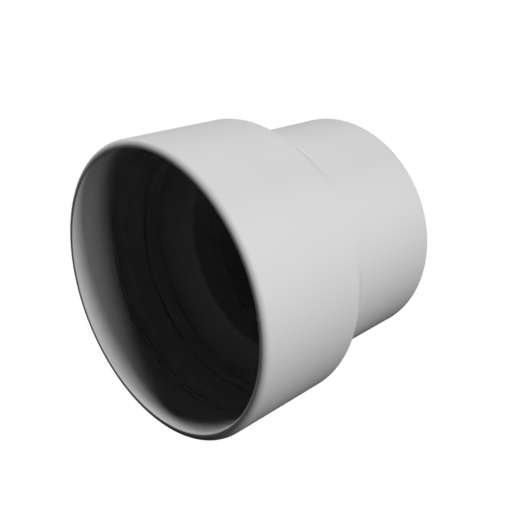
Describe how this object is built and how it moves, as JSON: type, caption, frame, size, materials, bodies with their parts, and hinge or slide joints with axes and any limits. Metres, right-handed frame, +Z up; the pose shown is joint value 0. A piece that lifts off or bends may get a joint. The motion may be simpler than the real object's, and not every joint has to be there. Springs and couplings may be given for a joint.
{
  "type": "eccentric reducer",
  "caption": "Plastic eccentric pipe reducer with a large and a small push-fit socket, flush on one side, each socket with a lip seal and a pipe stop.",
  "frame": {"origin": "centre of the large socket's mouth, on the large barrel's axis", "axes": "+Y along the pipe run, from the large socket to the small one; +Z up; the two barrels are flush on the side that lies 31 degrees above +X"},
  "size_m": [0.213, 0.1745, 0.213],
  "materials": {
    "shell_plastic": "smooth satin moulded plastic, very light grey",
    "weld_plastic": "dressed weld bead in the shell's plastic",
    "stop_plastic": "cut and bonded plastic ring",
    "seal_rubber": "matt light grey rubber",
    "retainer_plastic": "moulded light grey plastic"
  },
  "bodies": {
    "root": {"eccentric_cone": "shell_plastic", "large_barrel": "shell_plastic", "large_joint_weld": "weld_plastic", "large_pipe_stop": "stop_plastic", "large_seal": "seal_rubber", "large_seal_retainer": "retainer_plastic", "small_barrel": "shell_plastic", "small_joint_weld": "weld_plastic", "small_pipe_stop": "stop_plastic", "small_seal": "seal_rubber", "small_seal_retainer": "retainer_plastic"}
  },
  "joints": []
}
